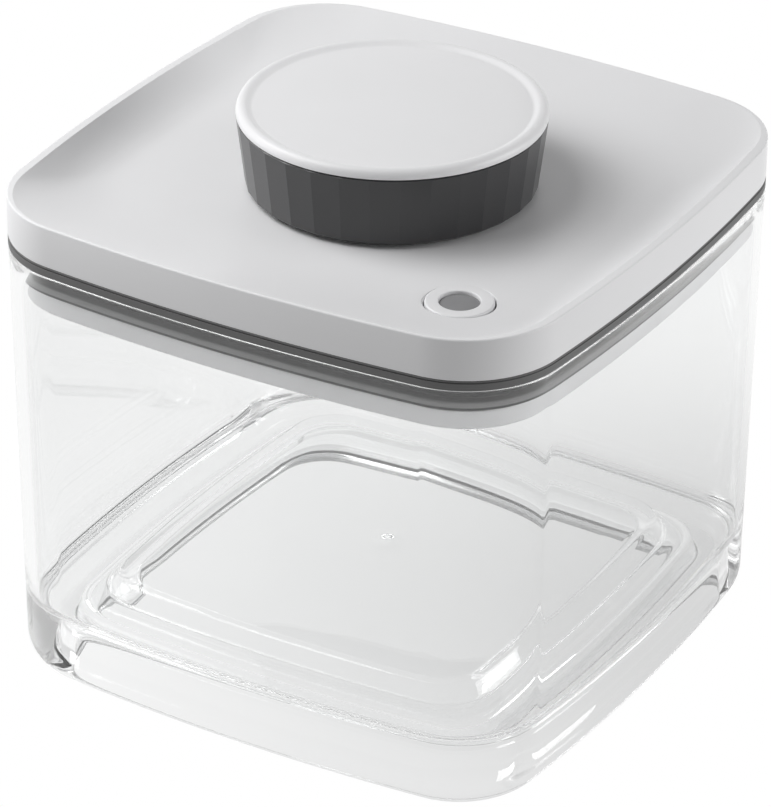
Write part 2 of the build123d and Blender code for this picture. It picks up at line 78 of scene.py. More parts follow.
# Outline of the canister: bowed sides and tangent corner arcs
SIDE_BOW = 0.455
CORNER = 0.022
SIDE_STEPS = 22
CORNER_STEPS = 36
ROUND_STEPS = 160

# Arcs of profiles, and the distances below which two points are one
ARC_SPACING = 0.0003
ARC_STEPS = 6
STRAIGHT = 0.01
# an arc next to a path's end stops short of it, so that no two points coincide
END_ARC = 0.98
TINY = 1e-9
CLOSE = 1e-7
WELD = 1e-6
# the first ring round a pole, as a share of its surface's radius, or as a radius
FIRST_RING = 0.1
POLE_RADIUS = 0.001

# Container
WALL = 0.0025
WALL_STEP = 0.005
DRAFT = 0.0015
RIM_ROUNDING = 0.0005
FOOT_ROUNDING = 0.008
FOOT_WIDTH = 0.0105
FOOT_EDGE = 0.0008
FLOOR = 0.0165
FLOOR_THICKNESS = 0.003
FLOOR_FILLET = 0.0028
PLATEAU_HALF = 0.046
PLATEAU_TOP = 0.0203
PLATEAU_FLARE = 0.0025
PLATEAU_CORNER = 0.010
PLATEAU_EDGE = 0.0018
PLATEAU_FOOT = 0.0015
RECESS_FLARE = 0.0015
RECESS_FILLET = 0.0035
ROOM_EDGE = 0.001
GATE_RADIUS = 0.005
GATE_DEPTH = 0.0006
GATE_RINGS = 8
# corner radius of the loop round the gate mark, as a share of its half width
GATE_ROUND = 0.97

# Lid
DISH_DEPTH = 0.0054
RIM_BAND_X = 0.002
RIM_BAND_Y = 0.0006
SLOPE_X = 0.0125
SLOPE_Y = 0.0265
DISH_CORNER = 0.016
LID_SKIN = 0.002
SHELL_WALL = 0.0024
LID_EDGE = 0.00045
LID_FOOT_EDGE = 0.0003
DISH_GRID = 0.0016
DISH_RINGS = 28
DISH_HALVINGS = 30
FLAT_GRID = DISH_GRID * 3
# no point of a grid is nearer to an edge than this share of the spacing
EDGE_MARGIN = 0.6
# out to this share of the way up its slopes, the dish holds the collar and the button's hole
MIDDLE_SHARE = 0.36

# Gasket and plug
TRAY_INSET = 0.0037
TRAY_WALL = 0.002
TRAY_FLOOR = 0.002
TRAY_EDGE = 0.0008
BAND_INSET = 0.0045
BAND_THICKNESS = 0.0014
GASKET_INNER = BAND_INSET + BAND_THICKNESS
LIP_RISE = 0.0004
LIP_HEIGHT = 0.0019
LIP_ROUNDING = 0.0006
LIP_GAP = 0.0001
GROOVE = 0.0003
GROOVE_DROP = 0.0003

# Knob
FACETS = 32
FACET_STEPS = 6
COLLAR_OUTER = washer_high.x
COLLAR_WALL = 0.002
COLLAR_LIP = 0.001
COLLAR_LIP_HEIGHT = 0.0012
GRIP_FOOT = 0.0307
GRIP_BORE = 0.02845
GRIP_CHAMFER = 0.0006
GRIP_EDGE_INSET = 0.0004
GRIP_EDGE_DROP = 0.0003
LEDGE_WIDTH = 0.0013
LEDGE_HEIGHT = 0.0015
CAP_BEAD = 0.0016
CAP_BEAD_STEPS = 9
CAP_RIM = 0.0036
CAP_RECESS = 0.0008
CAP_SLOPE_STEPS = 11
CAP_SLOPE_MARGIN = 0.001
CAP_SKIN = 0.0016
CAP_SKIRT = 0.0002
CAP_GAP = 0.0002
CAP_MIDDLE = 0.012
CAP_FLAT = 0.022
SPIGOT = 0.0271
SPIGOT_WALL = 0.0018

# Button
BUTTON = Vector(((button_low.x + button_high.x) / 2, (button_low.y + button_high.y) / 2, 0))
BUTTON_RADIUS = (button_high.x - button_low.x) / 2
BUTTON_GAP = 0.0003
BUTTON_EDGE = 0.0003
BUTTON_GUIDE_WALL = 0.0015
BUTTON_GUIDE_DROP = 0.005
BUTTON_STEPS = 96
BUTTON_TOP_ROUNDING = 0.0005
BUTTON_MOUTH_ROUNDING = 0.0003
BUTTON_SMALL_ROUNDING = 0.0002
POCKET_RADIUS = 0.0044
POCKET_DEPTH = 0.0018
INDICATOR_RADIUS = (indicator_high.x - indicator_low.x) / 2
INDICATOR_GAP = 0.00015
INDICATOR_ROOM = 0.0013
INDICATOR_CROWN = 0.00025
INDICATOR_RINGS = 12

# Springs
SPRING_STEPS = 40
WIRE_SIDES = 16
PUMP_WIRE = 0.0012
PUMP_TURNS = 4
VALVE_WIRE = 0.0006
VALVE_TURNS = 6


# Outlines and profiles


def bowed_quarter(half_x, half_y, bow, corner):
    """First quarter of a bowed square, from +X to +Y.

    Two side arcs of radius bow, with their middles on the X and Y axes, and a corner arc
    tangent to both: its middle is where circles of radius bow - corner about theirs cross.
    """
    reach = bow - corner
    middle = np.array([half_x - bow, half_y - bow]) / 2
    spread = np.hypot(half_x - bow, half_y - bow)
    outward = -np.array([half_y - bow, half_x - bow]) / max(spread, TINY)
    corner_middle = middle + outward * math.sqrt(max(reach**2 - spread**2 / 4, 0))
    x_turn = math.atan2(corner_middle[1], corner_middle[0] - (half_x - bow))
    y_turn = math.atan2(corner_middle[1] - (half_y - bow), corner_middle[0])
    side_x = np.linspace(0, x_turn, SIDE_STEPS, endpoint=False)
    turn = np.linspace(x_turn, y_turn, CORNER_STEPS, endpoint=False)
    side_y = np.linspace(y_turn, math.pi / 2, SIDE_STEPS)
    arc_x = np.stack([half_x - bow + bow * np.cos(side_x), bow * np.sin(side_x)], 1)
    arc_corner = corner_middle + corner * np.stack([np.cos(turn), np.sin(turn)], 1)
    arc_y = np.stack([bow * np.cos(side_y), half_y - bow + bow * np.sin(side_y)], 1)
    return np.concatenate([arc_x, arc_corner, arc_y])


def bowed_loop(half_x, half_y, bow, corner):
    """Whole bowed square, counterclockwise from above, from its first quarter and its mirrors."""
    quarter = bowed_quarter(half_x, half_y, bow, corner)
    back = quarter[::-1] * (-1, 1)
    parts = [quarter[:-1], back[:-1], -quarter[:-1], -back[:-1]]
    return np.concatenate(parts)


def body_loop(inset):
    """The canister's outline, moved inwards by an inset."""
    half = HALF - inset
    return bowed_loop(half, half, SIDE_BOW - inset, CORNER - inset)


def round_loop(radius, middle=(0, 0), steps=ROUND_STEPS):
    """Circle, counterclockwise from above: its middle plus radius times (cos, sin) of the turn."""
    turn = np.linspace(0, 2 * math.pi, steps, endpoint=False)
    return np.stack([middle[0] + radius * np.cos(turn), middle[1] + radius * np.sin(turn)], 1)


def button_loop(radius):
    """Circle about the button's axis."""
    return round_loop(radius, BUTTON, BUTTON_STEPS)


def facet_loop(radius):
    """Regular polygon of the grip: radius * cos(half a facet) / cos(angle from its middle)."""
    turn = np.linspace(0, 2 * math.pi, FACETS * FACET_STEPS, endpoint=False)
    half_facet = math.pi / FACETS
    from_middle = np.mod(turn, 2 * half_facet) - half_facet
    reach = radius * math.cos(half_facet) / np.cos(from_middle)
    return np.stack([reach * np.cos(turn), reach * np.sin(turn)], 1)


def rounded_path(points, radii):
    """Straight runs between points, with a tangent arc of the given radius at each inner point.

    An arc's points are its two end radii mixed by sin((1 - share) * sweep) and
    sin(share * sweep), over sin(sweep). They are ARC_SPACING apart, and at least ARC_STEPS.
    """
    points = np.array(points, float)
    path = [points[:1]]
    for before, at, after, radius in zip(points, points[1:], points[2:], radii):
        to_before = (before - at) / np.linalg.norm(before - at)
        to_after = (after - at) / np.linalg.norm(after - at)
        half_angle = math.acos(np.clip(to_before @ to_after, -1, 1)) / 2
        if radius <= 0 or half_angle > math.pi / 2 - STRAIGHT:
            path.append(at[None])
            continue
        bisector = to_before + to_after
        middle = at + bisector / np.linalg.norm(bisector) * radius / math.sin(half_angle)
        first = at + to_before * radius / math.tan(half_angle) - middle
        last = at + to_after * radius / math.tan(half_angle) - middle
        sweep = math.pi - 2 * half_angle
        steps = max(ARC_STEPS, round(radius * sweep / ARC_SPACING))
        share = np.linspace(0, 1, steps)[:, None]
        arc = np.sin((1 - share) * sweep) * first + np.sin(share * sweep) * last
        path.append(middle + arc / math.sin(sweep))
    path.append(points[-1:])
    return np.concatenate(path)


def divided(path, step):
    """The same path with its long runs cut into steps."""
    runs = [path[:1]]
    for before, after in zip(path, path[1:]):
        count = max(1, round(float(np.linalg.norm(after - before)) / step))
        runs.append(before + (after - before) * np.linspace(0, 1, count + 1)[1:, None])
    return np.concatenate(runs)


def stacked(loops, heights):
    """Rings of points: each loop at its height, or at a height for each of its points."""
    loops = np.asarray(loops)
    heights = np.asarray(heights, float).reshape(len(loops), -1, 1)
    lifted = np.broadcast_to(heights, loops.shape[:2] + (1,))
    return np.concatenate([loops, lifted], 2)


def carried(path, loop_at):
    """Rings of a path of (reach, height) points, where loop_at gives the loop at a reach."""
    return stacked([loop_at(reach) for reach, _ in path], [height for _, height in path])


# Meshes


def ring_faces(rings, joined=False):
    """Quads between neighbouring rings; joined also ties the last ring to the first."""
    count, around = rings.shape[:2]
    rows = count if joined else count - 1
    row = np.arange(rows)[:, None]
    column = np.arange(around)[None, :]
    next_row = (row + 1) % count
    next_column = (column + 1) % around
    corners = [
        row * around + column,
        next_row * around + column,
        next_row * around + next_column,
        row * around + next_column,
    ]
    return np.stack(np.broadcast_arrays(*corners), 2).reshape(-1, 4)


def pole_faces(around, ring_start, pole, top):
    """Triangles from a ring to the point that closes it."""
    first = ring_start + np.arange(around)
    second = ring_start + (np.arange(around) + 1) % around
    apex = np.full(around, pole)
    order = [apex, first, second] if top else [apex, second, first]
    return np.stack(order, 1)


def filled(name, vertices, face_groups):
    """Mesh from an array of points and arrays of faces, such as quads and triangles."""
    mesh = bpy.data.meshes.new(name)
    faces = [face for group in face_groups for face in group.tolist()]
    mesh.from_pydata(vertices.tolist(), [], faces)
    mesh.validate()
    return mesh


def linked(mesh, sharp=30):
    """Object of a mesh and with its name, smooth but for edges sharper than an angle in degrees."""
    mesh.shade_smooth()
    mesh.set_sharp_from_angle(angle=math.radians(sharp))
    piece = bpy.data.objects.new(mesh.name, mesh)
    bpy.context.scene.collection.objects.link(piece)
    return piece


def lathe(name, rings, start=None, end=None, joined=False, sharp=30):
    """Closed surface from rings, with a pole at each end or the last ring tied to the first.

    The profile runs from the upper middle outwards and down, so that the faces point outwards.
    """
    count, around = rings.shape[:2]
    vertices = rings.reshape(-1, 3)
    groups = [ring_faces(rings, joined)]
    if start is not None:
        groups.append(pole_faces(around, 0, len(vertices), True))
        vertices = np.concatenate([vertices, [start]])
    if end is not None:
        groups.append(pole_faces(around, (count - 1) * around, len(vertices), False))
        vertices = np.concatenate([vertices, [end]])
    return linked(filled(name, vertices, groups), sharp)


def inside(points, loop, margin):
    """Which points lie within a convex loop, by at least a margin.

    A point's depth behind an edge is the cross product of the edge's direction with the way
    from its start to the point.
    """
    following = np.roll(loop, -1, 0)
    along = following - loop
    along = along / np.linalg.norm(along, axis=1, keepdims=True)
    offset = points[:, None, :] - loop[None]
    depth = along[None, :, 0] * offset[:, :, 1] - along[None, :, 1] * offset[:, :, 0]
    return (depth > margin).all(1)


def flat_at(height):
    """Height function of a flat plan."""
    return lambda x, y: np.full_like(x, height)


def plan_patch(outer, holes, spacing, height_at):
    """Plan inside an outer loop and outside the holes, lifted by height_at(x, y).

    It is the Delaunay triangulation of the loops' points and of a grid between them.
    """
    low, high = outer.min(0), outer.max(0)
    across = np.arange(low[0], high[0], spacing)
    along = np.arange(low[1], high[1], spacing)
    grid = np.stack(np.meshgrid(across, along), 2).reshape(-1, 2)
    # every other row is shifted by half a step, so that the triangles are even
    grid[:, 0] += (np.round((grid[:, 1] - low[1]) / spacing) % 2) * spacing / 2
    margin = spacing * EDGE_MARGIN
    keep = inside(grid, outer, margin)
    for hole in holes:
        keep &= ~inside(grid, hole, -margin)
    loops = [outer, *holes]
    points = np.concatenate([*loops, grid[keep]])
    edges = []
    start = 0
    for loop in loops:
        places = start + np.arange(len(loop))
        edges += np.stack([places, np.roll(places, -1)], 1).tolist()
        start += len(loop)
    flat = [Vector(point) for point in points.tolist()]
    made, _, faces, _, _, _ = delaunay_2d_cdt(flat, edges, [], 0, CLOSE)
    made = np.array([(point.x, point.y) for point in made])
    faces = np.array([face for face in faces if len(face) == 3])
    middles = made[faces].mean(1)
    keep = inside(middles, outer, 0)
    for hole in holes:
        keep &= ~inside(middles, hole, 0)
    heights = height_at(made[:, 0], made[:, 1])
    return np.concatenate([made, heights[:, None]], 1), faces[keep]


def welded(name, parts, sharp=30):
    """One closed mesh from several (points, faces) parts, joined where their edges meet."""
    starts = np.cumsum([0] + [len(points) for points, _ in parts])
    groups = [faces + start for (_, faces), start in zip(parts, starts)]
    mesh = filled(name, np.concatenate([points for points, _ in parts]), groups)
    form = bmesh.new()
    form.from_mesh(mesh)
    bmesh.ops.remove_doubles(form, verts=form.verts, dist=WELD)
    bmesh.ops.recalc_face_normals(form, faces=form.faces)
    form.to_mesh(mesh)
    form.free()
    return linked(mesh, sharp)


def strip(rings):
    """A band of rings as (points, faces)."""
    return rings.reshape(-1, 3), ring_faces(rings)


# Pieces


def container_corner(half):
    """Corner radius at a half width, in straight runs between pairs of the two.

    It is round at the gate mark, tight round the floor's middle, and then the wall's own.
    """
    halves_and_corners = [
        (0, 0),
        (GATE_RADIUS, GATE_RADIUS * GATE_ROUND),
        (PLATEAU_HALF, PLATEAU_CORNER),
        (PLATEAU_HALF + PLATEAU_FLARE, PLATEAU_CORNER + PLATEAU_FLARE),
        (HALF - FOOT_WIDTH, CORNER - FOOT_WIDTH),
        (HALF, CORNER),
    ]
    return float(np.interp(half, *zip(*halves_and_corners)))


def container_loop(half):
    """Bowed square at a half width, which shrinks evenly to a point inside the plateau."""
    plateau_bow = SIDE_BOW - HALF + PLATEAU_HALF
    bow = plateau_bow * min(half / PLATEAU_HALF, 1) + max(half - PLATEAU_HALF, 0)
    return bowed_loop(half, half, bow, container_corner(half))


def make_container():
    """Clear canister: floor with its raised middle, inner wall, rim, outer wall, foot and recess.

    The gate mark in the middle falls by half of 1 + cos(pi * share of its radius) times its depth.
    """
    floor_half = HALF - WALL - DRAFT * (1 - FLOOR / RIM)
    foot_half = HALF - DRAFT - FOOT_WIDTH
    ceiling = FLOOR - FLOOR_THICKNESS
    room_half = PLATEAU_HALF + PLATEAU_FLARE - FLOOR_THICKNESS
    points = [
        (GATE_RADIUS, PLATEAU_TOP),
        (PLATEAU_HALF, PLATEAU_TOP),
        (PLATEAU_HALF + PLATEAU_FLARE, FLOOR),
        (floor_half, FLOOR),
        (HALF - WALL, RIM),
        (HALF, RIM),
        (HALF - DRAFT, 0),
        (foot_half, 0),
        (foot_half - RECESS_FLARE, ceiling),
        (room_half, ceiling),
        (PLATEAU_HALF - FLOOR_THICKNESS, PLATEAU_TOP - FLOOR_THICKNESS),
        (GATE_RADIUS, PLATEAU_TOP - FLOOR_THICKNESS),
    ]
    radii = [
        PLATEAU_EDGE,
        PLATEAU_FOOT,
        FLOOR_FILLET,
        RIM_ROUNDING,
        RIM_ROUNDING,
        FOOT_ROUNDING,
        FOOT_EDGE,
        RECESS_FILLET,
        ROOM_EDGE,
        ROOM_EDGE,
    ]
    share = np.linspace(FIRST_RING, 1, GATE_RINGS, endpoint=False)
    fall = GATE_DEPTH * (1 + np.cos(math.pi * share)) / 2
    gate = np.stack([GATE_RADIUS * share, PLATEAU_TOP - fall], 1)
    path = np.concatenate([gate, divided(rounded_path(points, radii), WALL_STEP)])
    piece = lathe(
        "clear_canister",
        carried(path, container_loop),
        start=(0, 0, PLATEAU_TOP - GATE_DEPTH),
        end=(0, 0, PLATEAU_TOP - FLOOR_THICKNESS),
    )
    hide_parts("container")
    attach(piece, "container")
    return piece


def slope_reach(slope, rise):
    """How far out a slope of the dish is at a rise, where its section is an arc level at its foot.

    The arc's radius is (slope^2 + depth^2) / (2 * depth), and the way out is the square root of
    2 * radius * rise - rise^2.
    """
    arc = (slope**2 + DISH_DEPTH**2) / (2 * DISH_DEPTH)
    return np.sqrt(2 * arc * rise - rise**2)


def dish_sizes(share):
    """Half widths and corner radius of the dish's outline at a share.

    The outline of share 0 is the floor's, that of share 1 the rim's, and it rises by the depth
    times the share squared.
    """
    rise = DISH_DEPTH * share**2
    half_x = HALF - RIM_BAND_X - SLOPE_X + slope_reach(SLOPE_X, rise)
    half_y = HALF - RIM_BAND_Y - SLOPE_Y + slope_reach(SLOPE_Y, rise)
    corner = DISH_CORNER + (CORNER - RIM_BAND_X - DISH_CORNER) * share
    return half_x, half_y, corner


def outside_by(x, y, half_x, half_y, corner):
    """How far points stand outside a bowed square: arc by arc, from the arcs' middles."""
    x, y = np.abs(x), np.abs(y)
    reach = SIDE_BOW - corner
    spread = np.hypot(half_x - SIDE_BOW, half_y - SIDE_BOW)
    lift = np.sqrt(reach**2 - spread**2 / 4) / spread
    corner_x = (half_x - SIDE_BOW) / 2 - (half_y - SIDE_BOW) * lift
    corner_y = (half_y - SIDE_BOW) / 2 - (half_x - SIDE_BOW) * lift
    from_x = np.hypot(x - half_x + SIDE_BOW, y) - SIDE_BOW
    from_y = np.hypot(x, y - half_y + SIDE_BOW) - SIDE_BOW
    from_corner = np.hypot(x - corner_x, y - corner_y) - corner
    over_x = (y - corner_y) * (corner_x - half_x + SIDE_BOW) > (x - corner_x) * corner_y
    over_y = (x - corner_x) * (corner_y - half_y + SIDE_BOW) > (y - corner_y) * corner_x
    return np.where(over_x & over_y, from_corner, np.maximum(from_x, from_y))


def share_height(share):
    """Height of the dish's outline at a share."""
    return LID_TOP - DISH_DEPTH * (1 - share**2)


def dish_height(x, y):
    """Height of the lid's top: that of the outline through a point, whose share halving finds."""
    low = np.zeros_like(x)
    high = np.ones_like(x)
    for _ in range(DISH_HALVINGS):
        share = (low + high) / 2
        beyond = outside_by(x, y, *dish_sizes(share)) > 0
        low = np.where(beyond, share, low)
        high = np.where(beyond, high, share)
    return share_height((low + high) / 2)


def dish_loop(share):
    """Outline of the dish at a share."""
    half_x, half_y, corner = dish_sizes(share)
    return bowed_loop(half_x, half_y, SIDE_BOW, corner)


def make_lid():
    """White top: a middle patch, rings up the slopes, side wall, collar, guide and underside."""
    dish_floor = LID_TOP - DISH_DEPTH
    underside = dish_floor - LID_SKIN
    collar_bore = COLLAR_OUTER - COLLAR_WALL
    collar_top = washer_low.z
    bore = BUTTON_RADIUS + BUTTON_GAP
    collar_loop = round_loop(COLLAR_OUTER)
    button_edge = button_loop(bore + BUTTON_EDGE)
    bore_loop = button_loop(bore)
    guide_loop = button_loop(bore + BUTTON_GUIDE_WALL)
    middle = plan_patch(dish_loop(MIDDLE_SHARE), [collar_loop, button_edge], DISH_GRID, dish_height)
    shares = np.linspace(MIDDLE_SHARE, 1, DISH_RINGS)
    slopes = stacked([dish_loop(share) for share in shares], share_height(shares))
    wall_points = [
        (LID_EDGE, LID_TOP),
        (0, LID_TOP),
        (0, LID_BOTTOM),
        (SHELL_WALL, LID_BOTTOM),
        (SHELL_WALL, underside),
    ]
    wall_path = rounded_path(wall_points, [LID_EDGE * END_ARC, LID_FOOT_EDGE, LID_FOOT_EDGE])
    outside = np.concatenate([slopes, carried(wall_path, body_loop)])
    collar_path = [
        (COLLAR_OUTER, dish_floor),
        (COLLAR_OUTER, collar_top - COLLAR_LIP_HEIGHT),
        (COLLAR_OUTER + COLLAR_LIP, collar_top - COLLAR_LIP_HEIGHT),
        (COLLAR_OUTER + COLLAR_LIP, collar_top),
        (collar_bore, collar_top),
        (collar_bore, underside),
    ]
    edge_heights = dish_height(button_edge[:, 0], button_edge[:, 1])
    guide_high = np.full(BUTTON_STEPS, underside)
    guide_low = guide_high - BUTTON_GUIDE_DROP
    guide_rings = stacked(
        [button_edge, bore_loop, bore_loop, guide_loop, guide_loop],
        [edge_heights, edge_heights - BUTTON_EDGE, guide_low, guide_low, guide_high],
    )
    under_holes = [round_loop(collar_bore), guide_loop]
    parts = [
        middle,
        strip(outside),
        strip(carried(collar_path, round_loop)),
        strip(guide_rings),
        plan_patch(body_loop(SHELL_WALL), under_holes, FLAT_GRID, flat_at(underside)),
    ]
    piece = welded("lid_top", parts, sharp=14)
    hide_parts("lid_shell")
    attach(piece, "lid")
    return piece


def make_gasket():
    """Rubber ring: flange with a groove on the rim, neck inside the wall, and one rounded lip."""
    groove_high = LID_BOTTOM - GROOVE_DROP
    groove_low = groove_high - GROOVE
    lip_low = gasket_low.z + LIP_RISE
    lip_high = lip_low + LIP_HEIGHT
    lip_reach = WALL + DRAFT * (1 - lip_low / RIM) + LIP_GAP
    points = [
        (GASKET_INNER, LID_BOTTOM),
        (0, LID_BOTTOM),
        (0, groove_high),
        (GROOVE, groove_high),
        (GROOVE, groove_low),
        (0, groove_low),
        (0, RIM),
        (BAND_INSET, RIM),
        (BAND_INSET, lip_high),
        (lip_reach, lip_high),
        (lip_reach, lip_low),
        (BAND_INSET, lip_low),
        (BAND_INSET, gasket_low.z),
        (GASKET_INNER, gasket_low.z),
        (GASKET_INNER, LID_BOTTOM),
    ]
    soft = GROOVE / 4
    flange_edge = GROOVE * 2 / 3
    radii = [flange_edge, soft, soft, soft, soft, flange_edge, LIP_GAP]
    radii += [LIP_GAP, LIP_ROUNDING, LIP_ROUNDING, LIP_GAP, LIP_GAP, LIP_GAP]
    path = rounded_path(points, radii)[:-1]
    piece = lathe("sealing_gasket", carried(path, body_loop), joined=True, sharp=50)
    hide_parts("rim_gasket")
    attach(piece, "lid")
    return piece


def make_plug():
    """White tray below the lid: skirt inside the gasket, flat underside with two pockets."""
    tray_bore = GASKET_INNER + TRAY_WALL
    outer_path = rounded_path(
        [
            (tray_bore, tray_low.z + TRAY_FLOOR),
            (tray_bore, tray_high.z),
            (GASKET_INNER, tray_high.z),
            (GASKET_INNER, gasket_low.z),
            (TRAY_INSET, gasket_low.z),
            (TRAY_INSET, tray_low.z),
            (TRAY_INSET + TRAY_EDGE, tray_low.z),
        ],
        [LID_FOOT_EDGE, LID_FOOT_EDGE, 0, GROOVE * 2 / 3, TRAY_EDGE * END_ARC],
    )
    under_loop = body_loop(TRAY_INSET + TRAY_EDGE)
    filter_loop = round_loop(filter_high.x)
    pocket_loop = button_loop(POCKET_RADIUS)
    parts = [
        strip(carried(outer_path, body_loop)),
        plan_patch(body_loop(tray_bore), [], FLAT_GRID, flat_at(tray_low.z + TRAY_FLOOR)),
        plan_patch(under_loop, [filter_loop, pocket_loop], FLAT_GRID, flat_at(tray_low.z)),
    ]
    for loop, top in ((filter_loop, filter_high.z), (pocket_loop, tray_low.z + POCKET_DEPTH)):
        parts.append(strip(stacked([loop, loop], [tray_low.z, top])))
        parts.append(plan_patch(loop, [], FLAT_GRID, flat_at(top)))
    piece = welded("lid_plug", parts)
    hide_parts("lid_tray")
    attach(piece, "lid")
    return piece


def make_grip():
    """Faceted ring that widens upwards, with a chamfered foot, the bore for the hub and a ledge."""
    lean = (grip_high.x - GRIP_FOOT) / (grip_high.z - grip_low.z)
    waist = GRIP_FOOT + lean * GRIP_CHAMFER
    outer_path = [
        (grip_high.x - GRIP_EDGE_INSET, grip_high.z),
        (grip_high.x, grip_high.z - GRIP_EDGE_DROP),
        (waist, grip_low.z + GRIP_CHAMFER),
        (waist - GRIP_CHAMFER, grip_low.z),
    ]
    ledge = GRIP_BORE - LEDGE_WIDTH
    ledge_high = hub_high.z + LEDGE_HEIGHT
    bore_path = [
        (GRIP_BORE, grip_low.z),
        (GRIP_BORE, hub_high.z),
        (ledge, hub_high.z),
        (ledge, ledge_high),
        (GRIP_BORE, ledge_high),
        (GRIP_BORE, grip_high.z),
    ]
    steps = FACETS * FACET_STEPS
    bore_rings = carried(bore_path, lambda radius: round_loop(radius, steps=steps))
    rings = np.concatenate([carried(outer_path, facet_loop), bore_rings])
    piece = lathe("knob_grip", rings, joined=True, sharp=7)
    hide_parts("grip_ring")
    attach(piece, "knob")
    return piece


def make_cap():
    """White cap: flat recess, rounded bead, short skirt and the spigot that stands on the hub.

    The recess rises to the bead by half of 1 - cos(pi * share of its slope) times its depth, and
    the bead is a quarter of an ellipse.
    """
    radius = cap_high.x
    recess_top = cap_high.z - CAP_RECESS
    underside = recess_top - CAP_SKIN
    skirt_low = grip_high.z + CAP_GAP
    flat = [
        (CAP_MIDDLE, recess_top),
        (CAP_FLAT, recess_top),
        (radius - CAP_RIM - CAP_SLOPE_MARGIN, recess_top),
    ]
    share = np.linspace(0, 1, CAP_SLOPE_STEPS, endpoint=False)
    rise = CAP_RECESS * (1 - np.cos(math.pi * share)) / 2
    slope = np.stack([radius - CAP_RIM + (CAP_RIM - CAP_BEAD) * share, recess_top + rise], 1)
    turn = np.linspace(0, math.pi / 2, CAP_BEAD_STEPS)
    drop = (cap_high.z - skirt_low - CAP_SKIRT) * (1 - np.cos(turn))
    bead = np.stack([radius - CAP_BEAD + CAP_BEAD * np.sin(turn), cap_high.z - drop], 1)
    under = [
        (radius, skirt_low),
        (SPIGOT, skirt_low),
        (SPIGOT, hub_high.z),
        (SPIGOT - SPIGOT_WALL, hub_high.z),
        (SPIGOT - SPIGOT_WALL, underside),
        (CAP_MIDDLE, underside),
    ]
    rings = carried(np.concatenate([flat, slope, bead, under]), round_loop)
    piece = lathe("cap_shell", rings, start=(0, 0, recess_top), end=(0, 0, underside))
    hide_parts("knob_cap")
    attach(piece, "knob")
    return piece


def make_button():
    """White push button: a rounded ring round the pocket that holds the indicator."""
    pocket = INDICATOR_RADIUS + INDICATOR_GAP
    pocket_floor = indicator_low.z - INDICATOR_ROOM
    points = [
        (POLE_RADIUS, pocket_floor),
        (pocket, pocket_floor),
        (pocket, button_high.z),
        (BUTTON_RADIUS, button_high.z),
        (BUTTON_RADIUS, button_low.z),
        (POLE_RADIUS, button_low.z),
    ]
    radii = [
        BUTTON_SMALL_ROUNDING,
        BUTTON_MOUTH_ROUNDING,
        BUTTON_TOP_ROUNDING,
        BUTTON_SMALL_ROUNDING,
    ]
    piece = lathe(
        "button_ring",
        carried(rounded_path(points, radii), button_loop),
        start=(BUTTON.x, BUTTON.y, pocket_floor),
        end=(BUTTON.x, BUTTON.y, button_low.z),
    )
    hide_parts("release_button")
    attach(piece, "button")
    return piece


def make_indicator():
    """Soft grey disc with a low crown: height falls with the square of the radius."""
    share = np.linspace(FIRST_RING, 1, INDICATOR_RINGS)
    crown = indicator_high.z - INDICATOR_CROWN * share**2
    top = np.stack([INDICATOR_RADIUS * share, crown], 1)
    under = [(INDICATOR_RADIUS, indicator_low.z), (POLE_RADIUS, indicator_low.z)]
    piece = lathe(
        "indicator_disc",
        carried(np.concatenate([top, under]), button_loop),
        start=(BUTTON.x, BUTTON.y, indicator_high.z),
        end=(BUTTON.x, BUTTON.y, indicator_low.z),
    )
    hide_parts("vacuum_indicator")
    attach(piece, "indicator")
    return piece


def make_spring(name, node, wire, turns):
    """Coil spring: a circle of wire carried up a helix that fills the node's box.

    The helix is its axis plus radius times (cos, sin) of the turn, and rises evenly with it. The
    wire's circles stand across it.
    """
    low, high = (np.array(corner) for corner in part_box(node))
    axis = (low + high) / 2
    radius = (high[0] - low[0] - wire) / 2
    rise = high[2] - low[2] - wire
    turn = np.linspace(0, 2 * math.pi * turns, int(turns * SPRING_STEPS) + 1)
    flat = np.zeros_like(turn)
    outwards = np.stack([np.cos(turn), np.sin(turn), flat], 1)
    along = np.stack([-np.sin(turn), np.cos(turn), flat + rise / (2 * math.pi * turns * radius)], 1)
    along /= np.linalg.norm(along, axis=1, keepdims=True)
    upwards = np.cross(outwards, along)
    centres = outwards * radius
    centres[:, :2] += axis[:2]
    centres[:, 2] = low[2] + wire / 2 + rise * turn / turn[-1]
    angle = np.linspace(0, 2 * math.pi, WIRE_SIDES, endpoint=False)[None, :, None]
    spokes = np.cos(angle) * outwards[:, None] + np.sin(angle) * upwards[:, None]
    rings = centres[:, None] + wire / 2 * spokes
    piece = lathe(name, rings, start=centres[0], end=centres[-1])
    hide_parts(node)
    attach(piece, "lid")
    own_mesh(piece)
    return piece


# Materials

# sizes and depths of the textures are in metres
CLOUD = 0.03
GRAIN = 0.0006
GRAIN_DEPTH = 0.000004
COAT_ROUGHNESS = 0.3
DUST = 0.004
DUST_ROUGHNESS = 0.6
DUSTY = 1.25
DUST_GREY = (0.5, 0.5, 0.5)
GASKET_DUST = 0.05
GASKET_ROUGHNESS = 0.55
RUBBER_GRAIN = 0.0004
RUBBER_DEPTH = 0.000008
RIPPLE = 0.03
RIPPLE_DEPTH = 0.000001
CLEAR_GRAIN = 0.002
CLEAR_DARK = (0.925, 0.93, 0.93)
CLEAR_PALE = (0.945, 0.948, 0.948)
CLEAR_IOR = 1.49
MATT_HEIGHT = 0.0008
MATT_ROUGHNESS = 0.35
STREAK = 0.0008
STREAK_DEPTH = 0.000003
STREAK_DARK = 0.85
WEAVE = 9000.0
WEAVE_DEPTH = 0.00005
WEAVE_ROUGHNESS = 0.6
WEAVE_DARK = (0.45, 0.45, 0.45)
WEAVE_PALE = (0.75, 0.75, 0.74)
